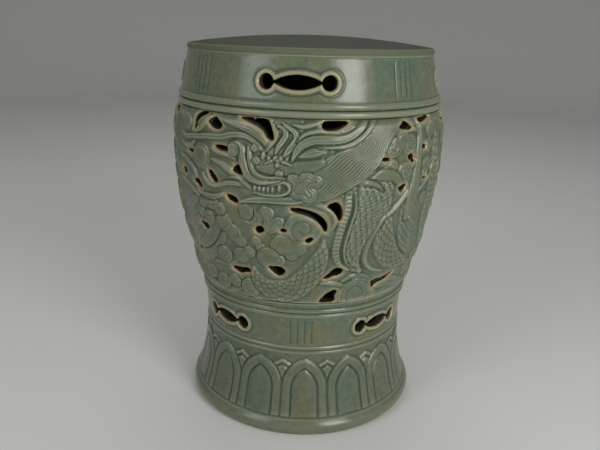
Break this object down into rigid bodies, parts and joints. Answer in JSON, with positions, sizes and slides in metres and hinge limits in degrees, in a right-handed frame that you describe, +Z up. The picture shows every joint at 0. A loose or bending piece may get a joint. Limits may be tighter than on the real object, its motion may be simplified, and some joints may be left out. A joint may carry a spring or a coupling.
{
  "type": "garden stool",
  "caption": "Drum-shaped glazed ceramic garden stool with domed seat, lobed hand openings, pierced dragon-and-cloud belly and lotus petal foot.",
  "frame": {"origin": "middle of the foot's resting face, on the floor", "axes": "+Z up through the seat, -Y towards the middle of one hand opening (the front)"},
  "size_m": [0.331, 0.3308, 0.46],
  "materials": {
    "seat_glaze": "glossy celadon glaze",
    "band_glaze": "glossy celadon glaze",
    "carved_wall_glaze": "glossy celadon glaze, darker where it pools",
    "relief_glaze": "glossy celadon glaze, paler on the ridges",
    "foot_glaze": "glossy celadon glaze"
  },
  "bodies": {
    "root": {"seat_slab": "seat_glaze", "shoulder_band": "band_glaze", "shoulder_opening_lips": "band_glaze", "shoulder_cordon": "band_glaze", "belly_wall": "carved_wall_glaze", "flaming_pearls": "relief_glaze", "pearl_flames": "relief_glaze", "dragon_snouts": "relief_glaze", "dragon_teeth": "relief_glaze", "dragon_jaws": "relief_glaze", "dragon_jowls": "relief_glaze", "dragon_ears": "relief_glaze", "dragon_horns": "relief_glaze", "dragon_forelocks": "relief_glaze", "dragon_manes": "relief_glaze", "dragon_beards": "relief_glaze", "dragon_chests": "relief_glaze", "belly_plates": "relief_glaze", "dragon_body_loops": "relief_glaze", "dragon_haunches": "relief_glaze", "dragon_limbs": "relief_glaze", "shoulder_flames": "relief_glaze", "dragon_backs": "relief_glaze", "dragon_tails": "relief_glaze", "upper_cloud_scrolls": "relief_glaze", "middle_cloud_scrolls": "relief_glaze", "lower_cloud_scrolls": "relief_glaze", "waist_cordon": "band_glaze", "waist_band": "band_glaze", "waist_opening_lips": "band_glaze", "skirt_cordon": "band_glaze", "foot_skirt": "band_glaze", "lotus_petal_blades": "band_glaze", "lotus_petal_rims": "band_glaze", "petal_darts": "band_glaze", "foot_rim": "foot_glaze"}
  },
  "joints": []
}
